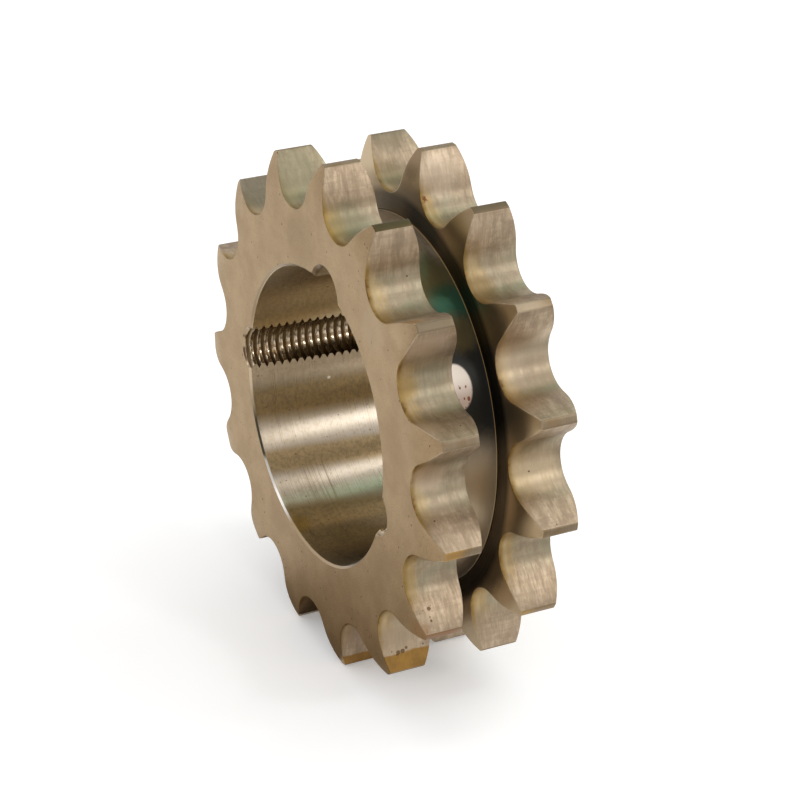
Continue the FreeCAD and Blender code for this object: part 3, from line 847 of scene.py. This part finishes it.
def cutter_tree():
    """A closed tool about an axis along Y: mouth, wall with or without a thread, and point."""
    tree, given, result = geometry_tree("half_hole_tool", [
        ("Core radius", "NodeSocketFloat", 4 * MM),
        ("Thread depth", "NodeSocketFloat", thread_depth),
        ("Pitch", "NodeSocketFloat", thread_pitch),
        ("Depth", "NodeSocketFloat", taper_length),
        ("Countersink", "NodeSocketFloat", hole_countersink),
        ("Sides", "NodeSocketInt", 48),
        ("Rings", "NodeSocketInt", 240),
        ("Finish", "NodeSocketMaterial", None),
    ], geometry_in=False)
    grid = node(tree, "GeometryNodeMeshGrid")
    grid.inputs["Size X"].default_value = 1
    grid.inputs["Size Y"].default_value = 1
    tree.links.new(given.outputs["Sides"], grid.inputs["Vertices X"])
    tree.links.new(given.outputs["Rings"], grid.inputs["Vertices Y"])
    place = node(tree, "ShaderNodeSeparateXYZ")
    tree.links.new(node(tree, "GeometryNodeInputPosition").outputs[0], place.inputs[0])
    turn = calculate(tree, "MULTIPLY", place.outputs["X"], -math.tau)
    share = calculate(tree, "ADD", place.outputs["Y"], 0.5)
    core = given.outputs["Core radius"]
    point = calculate(tree, "DIVIDE", core, drill_point)
    reach = calculate(tree, "ADD", given.outputs["Depth"], point)
    length = calculate(tree, "ADD", reach, tool_clearance)
    depth = calculate(tree, "MULTIPLY_ADD", share, length, -tool_clearance)
    turns = calculate(tree, "DIVIDE", depth, given.outputs["Pitch"])
    phase = calculate(tree, "MULTIPLY_ADD", turns, math.tau, turn)
    turns_done = calculate(tree, "DIVIDE", phase, math.tau)
    whole = calculate(tree, "ROUND", turns_done)
    away = distance_from(tree, turns_done, whole)
    rise = calculate(tree, "DIVIDE", calculate(tree, "SUBTRACT", thread_root, away), thread_root)
    wave = calculate(tree, "MAXIMUM", rise, 0.0)
    thread = calculate(tree, "MULTIPLY_ADD", wave, given.outputs["Thread depth"], core)
    widest = calculate(tree, "ADD", core, given.outputs["Countersink"])
    mouth = calculate(tree, "SUBTRACT", widest, depth)
    wall = calculate(tree, "MAXIMUM", thread, mouth)
    left = calculate(tree, "MAXIMUM", calculate(tree, "SUBTRACT", reach, depth), 0.0)
    radius = calculate(tree, "MINIMUM", wall, calculate(tree, "MULTIPLY", left, drill_point))
    inside = calculate(tree, "GREATER_THAN", share, 0.0001)
    radius = calculate(tree, "MULTIPLY", radius, inside)
    new_place = node(tree, "ShaderNodeCombineXYZ")
    cosine = calculate(tree, "COSINE", turn)
    sine = calculate(tree, "SINE", turn)
    tree.links.new(calculate(tree, "MULTIPLY", radius, cosine), new_place.inputs["X"])
    tree.links.new(depth, new_place.inputs["Y"])
    tree.links.new(calculate(tree, "MULTIPLY", radius, sine), new_place.inputs["Z"])
    keep = node(tree, "GeometryNodeStoreNamedAttribute", data_type="FLOAT", domain="POINT")
    keep.inputs["Name"].default_value = "root"
    tree.links.new(grid.outputs["Mesh"], keep.inputs["Geometry"])
    tree.links.new(wave, keep.inputs["Value"])
    move = node(tree, "GeometryNodeSetPosition")
    tree.links.new(keep.outputs[0], move.inputs["Geometry"])
    tree.links.new(new_place.outputs[0], move.inputs["Position"])
    weld = node(tree, "GeometryNodeMergeByDistance")
    weld.inputs["Distance"].default_value = weld_distance
    tree.links.new(move.outputs[0], weld.inputs["Geometry"])
    finish = node(tree, "GeometryNodeSetMaterial")
    tree.links.new(weld.outputs[0], finish.inputs["Geometry"])
    tree.links.new(given.outputs["Finish"], finish.inputs["Material"])
    tree.links.new(finish.outputs[0], result.inputs[0])
    return tree


def half_hole_tool(name, tree, **values):
    """The cutter for one of the record's half holes, in its place and at its size."""
    mount = mounts[name]
    sizes = {"Core radius": mount["dims"]["r_mm"] * MM, "Depth": mount["dims"]["length_mm"] * MM}
    tool = bpy.data.objects.new(name, bpy.data.meshes.new(name))
    bpy.context.scene.collection.objects.link(tool)
    apply_tree(tool, tree, **sizes, **values)
    tool.data.transform(Matrix.Translation(mount["pos_m"]))
    return tool


tool_tree = cutter_tree()
tools = [
    half_hole_tool("plain_half_hole", tool_tree, Finish=hole_steel, Rings=64, **{"Thread depth": 0.0}),
    half_hole_tool("left_tapped_half_hole", tool_tree, Finish=thread_steel),
    half_hole_tool("right_tapped_half_hole", tool_tree, Finish=thread_steel),
]


def cut_tree(cutters):
    tree, given, result = geometry_tree("cut_half_holes", [])
    cut = node(tree, "GeometryNodeMeshBoolean", operation="DIFFERENCE", solver="MANIFOLD")
    tree.links.new(given.outputs["Geometry"], cut.inputs["Mesh 1"])
    for cutter in cutters:
        source = node(tree, "GeometryNodeObjectInfo")
        source.inputs["Object"].default_value = cutter
        tree.links.new(source.outputs["Geometry"], cut.inputs["Mesh 2"])
    tree.links.new(cut.outputs["Mesh"], result.inputs[0])
    return tree


apply_tree(blank, cut_tree(tools))
for tool in tools:
    bpy.data.objects.remove(tool)

blank.name = "machined_sprocket"
blank.data.set_sharp_from_angle(angle=sharp_angle)
for polygon in blank.data.polygons:
    polygon.use_smooth = True

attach(blank, "root")
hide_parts("sprocket")


# Stand.  A white floor under the lowest tips in an even white studio.  Soft boxes above and behind
# light the steel, and matt cards that only reflections see give it its darker parts.  The camera
# comes last.
floor_size = 4.0
bpy.ops.mesh.primitive_plane_add(size=floor_size, location=(0, 0, lowest.z))
floor = bpy.context.object
floor.name = "pale_floor"
paper = bpy.data.materials.new("pale_paper")
paper.use_nodes = True
shader = paper.node_tree.nodes["Principled BSDF"]
shader.inputs["Base Color"].default_value = (0.9, 0.9, 0.9, 1)
shader.inputs["Roughness"].default_value = 0.9
seen_by = node(paper.node_tree, "ShaderNodeLightPath")
seen = seen_by.outputs["Is Camera Ray"]
for ray in ("Is Glossy Ray", "Is Transmission Ray"):
    seen = calculate(paper.node_tree, "MAXIMUM", seen, seen_by.outputs[ray])
shader.inputs["Emission Color"].default_value = (1, 1, 1, 1)
glow = calculate(paper.node_tree, "MULTIPLY", seen, 0.2)
paper.node_tree.links.new(glow, shader.inputs["Emission Strength"])
floor.data.materials.append(paper)

world = bpy.data.worlds.new("studio")
bpy.context.scene.world = world
world.use_nodes = True
world.node_tree.nodes["Background"].inputs["Color"].default_value = (1, 1, 1, 1)
world.node_tree.nodes["Background"].inputs["Strength"].default_value = 1.0


def face_middle(holder, direction, distance):
    """Puts a lamp or a card at a distance from the sprocket's middle and turns it to face there."""
    towards = Vector(direction).normalized()
    holder.location = Vector((0, width / 2, 0)) + towards * distance
    holder.rotation_euler = towards.to_track_quat("Z", "Y").to_euler()


def soft_box(name, direction, distance, side, radiance, tint=(1, 1, 1)):
    """A square lamp that faces the sprocket's middle from a direction."""
    lamp = bpy.data.lights.new(name, "AREA")
    lamp.shape = "SQUARE"
    lamp.size = side
    lamp.energy = radiance * math.pi * side**2
    lamp.color = tint
    holder = bpy.data.objects.new(name, lamp)
    face_middle(holder, direction, distance)
    bpy.context.scene.collection.objects.link(holder)


def card(name, tone, location, turn, sides):
    """A matt card that only reflections see; it is turned about the three axes in degrees."""
    rotation = [math.radians(angle) for angle in turn]
    bpy.ops.mesh.primitive_plane_add(size=1, location=location, rotation=rotation)
    made = bpy.context.object
    made.name = name
    made.scale = (*sides, 1)
    matt = bpy.data.materials.new(name)
    matt.use_nodes = True
    shader = matt.node_tree.nodes["Principled BSDF"]
    shader.inputs["Base Color"].default_value = (*tone, 1)
    shader.inputs["Roughness"].default_value = 0.9
    made.data.materials.append(matt)
    made.visible_camera = False
    made.visible_diffuse = False
    made.visible_shadow = False


soft_box("key_box", (0.72, 0.42, 0.54), 0.6, 0.09, 5.5)
soft_box("key_back_box", (0.60, 0.62, 0.50), 0.6, 0.10, 11.0)
soft_box("top_box", (0.14, 0.42, 0.89), 0.6, 0.07, 6.0)
soft_box("top_back_box", (0.12, 0.62, 0.77), 0.6, 0.08, 10.0)
soft_box("green_box", (-0.17, 0.42, 0.89), 0.27, 0.02, 4.0, (0.4, 1.0, 0.72))
soft_box("green_back_box", (-0.15, 0.62, 0.77), 0.27, 0.022, 8.0, (0.4, 1.0, 0.72))
soft_box("front_box", (-0.13, -0.80, 0.58), 0.6, 0.12, 2.0)
card("right_floor_card", (0.4, 0.38, 0.35), (0.16, 0.10, lowest.z + MM), (0, 0, 0), (0.16, 0.20))
card("front_floor_card", (0.3, 0.24, 0.17), (0.005, -0.025, lowest.z + MM), (0, 0, 0), (0.06, 0.05))
card("under_card", (0.3, 0.23, 0.16), (-0.03, 0.035, lowest.z + MM), (0, 0, 0), (0.08, 0.07))
card("left_floor_card", (0.30, 0.32, 0.25), (-0.14, 0.08, lowest.z + MM), (0, 0, 0), (0.13, 0.12))
card("left_back_card", (0.15, 0.13, 0.11), (-0.2, 0.24, 0.01), (0, 90, 0), (0.11, 0.4))
card("over_left_card", (0.14, 0.22, 0.17), (-0.09, 0.22, 0.3), (0, 0, 0), (0.10, 0.36))
card("over_right_card", (0.42, 0.38, 0.33), (0.13, 0.16, 0.3), (0, 0, 0), (0.11, 0.2))
card("low_right_card", (0.36, 0.31, 0.24), (0.42, 0.25, 0.145), (0, 71, 0), (0.17, 0.44))
card("front_card", (0.2, 0.17, 0.14), (0, -0.3, 0.02), (90, 0, 0), (0.4, 0.26))

camera_azimuth = math.radians(62.28)
camera_elevation = math.radians(26.446)
camera_roll = math.radians(1.183)
camera_distance = 518.77 * MM
camera_aim = Vector((1.19, 17.69, 0.28)) * MM
camera_lens = 123.74
forward = Vector((
    -math.sin(camera_azimuth) * math.cos(camera_elevation),
    math.cos(camera_azimuth) * math.cos(camera_elevation),
    -math.sin(camera_elevation),
))
level_right = Vector((math.cos(camera_azimuth), math.sin(camera_azimuth), 0))
level_up = level_right.cross(forward)
right = level_right * math.cos(camera_roll) + level_up * math.sin(camera_roll)
up = level_up * math.cos(camera_roll) - level_right * math.sin(camera_roll)
camera_data = bpy.data.cameras.new("camera")
camera_data.lens = camera_lens
camera = bpy.data.objects.new("camera", camera_data)
axes = Matrix((right, up, -forward)).transposed().to_4x4()
camera.matrix_world = Matrix.Translation(camera_aim - forward * camera_distance) @ axes
bpy.context.scene.collection.objects.link(camera)
bpy.context.scene.camera = camera
bpy.context.scene.view_settings.view_transform = "Standard"
